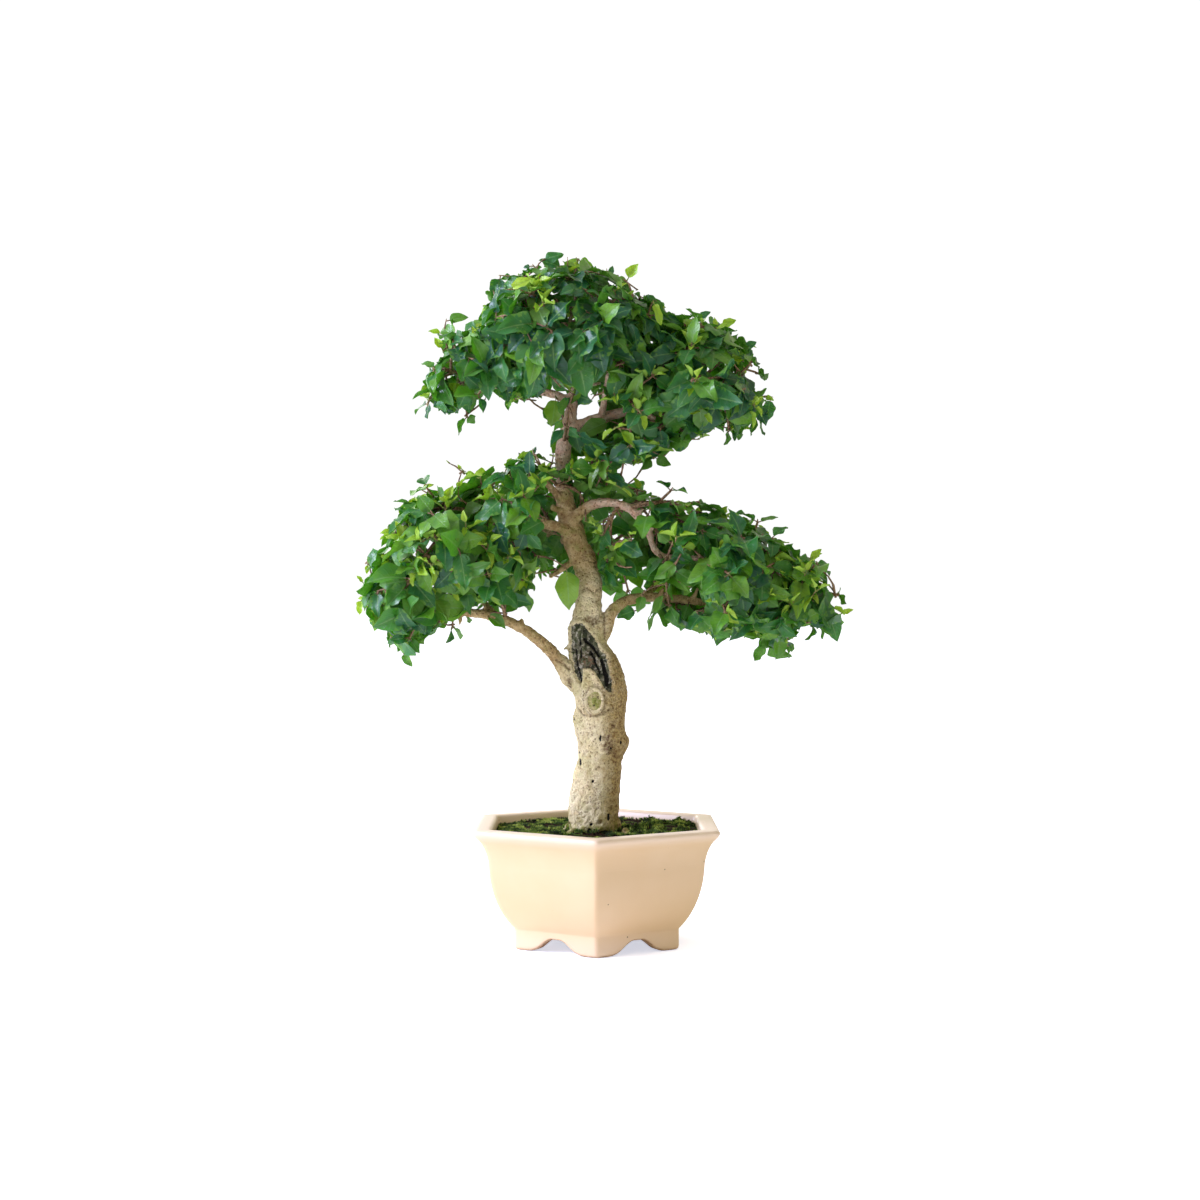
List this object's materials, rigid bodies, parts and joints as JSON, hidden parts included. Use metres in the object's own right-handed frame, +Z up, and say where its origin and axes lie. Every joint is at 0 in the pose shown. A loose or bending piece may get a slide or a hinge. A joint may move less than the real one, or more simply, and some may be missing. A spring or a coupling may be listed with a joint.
{
  "type": "privet bonsai",
  "caption": "Privet bonsai in a flared hexagonal glazed pot on corner feet: a thick pale trunk with a healed hollow, spreading side branches and a rounded crown of small oval leaves.",
  "frame": {"origin": "on the ground under the middle of the bounding box; the pot stands on z = 0", "axes": "+Z up along the tree; -Y towards the viewer of the picture, where one corner of the pot points; +X to the right of the picture"},
  "size_m": [0.4364, 0.262, 0.6139],
  "materials": {
    "glazed_pot": "smooth cream glaze, soft gloss",
    "drain_mesh": "matte",
    "soil": "dark crumbly soil under moss",
    "bark": "rough pale bark",
    "leaves": "waxy semi-gloss leaves on thin twigs"
  },
  "bodies": {
    "root": {"pot": "glazed_pot", "drain_mesh": "drain_mesh", "soil": "soil", "wood": "bark", "spray_crown_left_1": "leaves", "spray_crown_left_2": "leaves", "spray_crown_left_3": "leaves", "spray_crown_right_1": "leaves", "spray_crown_right_2": "leaves", "spray_crown_right_3": "leaves", "spray_crown_right_4": "leaves", "spray_crown_right_5": "leaves", "spray_crown_right_6": "leaves", "spray_crown_top_1": "leaves", "spray_crown_top_2": "leaves", "spray_crown_top_3": "leaves", "spray_crown_top_4": "leaves", "spray_crown_top_5": "leaves", "spray_crown_top_6": "leaves", "spray_crown_top_7": "leaves", "spray_crown_under_1": "leaves", "spray_crown_under_2": "leaves", "spray_crown_under_3": "leaves", "spray_crown_under_4": "leaves", "spray_crown_under_5": "leaves", "spray_left_high_1": "leaves", "spray_left_high_2": "leaves", "spray_left_high_3": "leaves", "spray_left_high_4": "leaves", "spray_left_mid_1": "leaves", "spray_left_mid_2": "leaves", "spray_left_mid_3": "leaves", "spray_left_rear_1": "leaves", "spray_left_tip_1": "leaves", "spray_left_tip_2": "leaves", "spray_left_tip_3": "leaves", "spray_left_tip_4": "leaves", "spray_left_under_1": "leaves", "spray_left_under_2": "leaves", "spray_rear_1": "leaves", "spray_rear_2": "leaves", "spray_rear_3": "leaves", "spray_rear_4": "leaves", "spray_rear_5": "leaves", "spray_rear_6": "leaves", "spray_right_high_1": "leaves", "spray_right_high_2": "leaves", "spray_right_high_3": "leaves", "spray_right_mid_1": "leaves", "spray_right_mid_2": "leaves", "spray_right_mid_3": "leaves", "spray_right_mid_4": "leaves", "spray_right_mid_5": "leaves", "spray_right_mid_6": "leaves", "spray_right_tip_1": "leaves", "spray_right_tip_2": "leaves", "spray_right_under_1": "leaves", "spray_right_under_2": "leaves", "spray_right_under_3": "leaves"}
  },
  "joints": []
}
